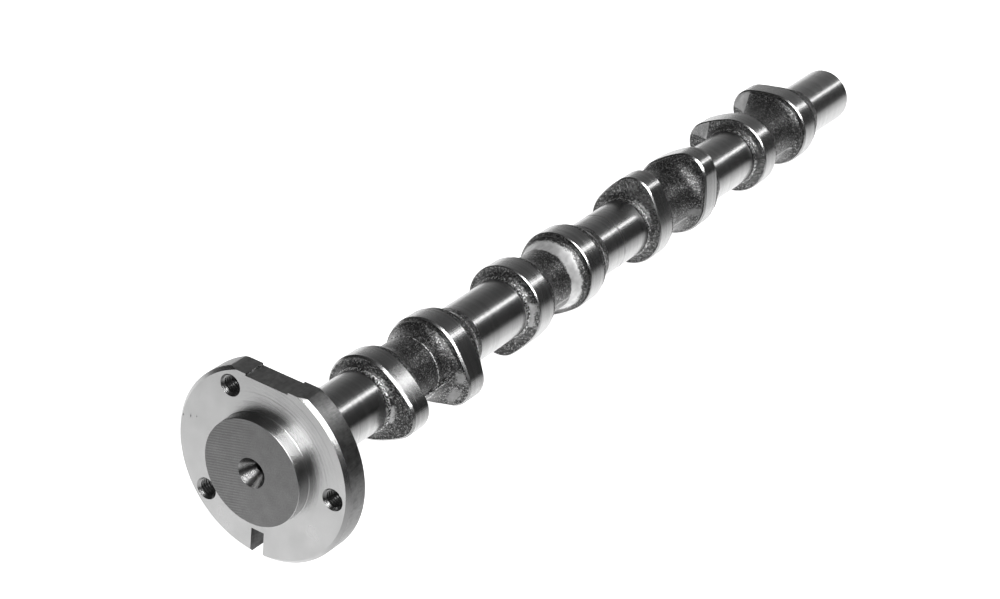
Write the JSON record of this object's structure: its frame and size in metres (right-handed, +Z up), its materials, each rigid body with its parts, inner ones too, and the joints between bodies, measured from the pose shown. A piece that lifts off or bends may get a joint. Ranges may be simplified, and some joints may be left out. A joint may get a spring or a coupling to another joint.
{
  "type": "camshaft",
  "caption": "Cast iron camshaft with paired lobes between ground journals, and a flange at one end with a pilot, a timing slot and tapped holes.",
  "frame": {"origin": "centre of the flange's front face, on the shaft's axis", "axes": "+X from the flange towards the far end, in the upright plane through the shaft's axis; +Z up, with the shaft lying on its flange and its last cam, so that its axis falls 3.12 degrees towards the far end"},
  "size_m": [0.4552, 0.0786, 0.075],
  "materials": {
    "ground_iron": "ground",
    "cast_iron": "as cast",
    "turned_iron": "fine turned"
  },
  "bodies": {
    "root": {"camshaft": "ground_iron"}
  },
  "joints": []
}
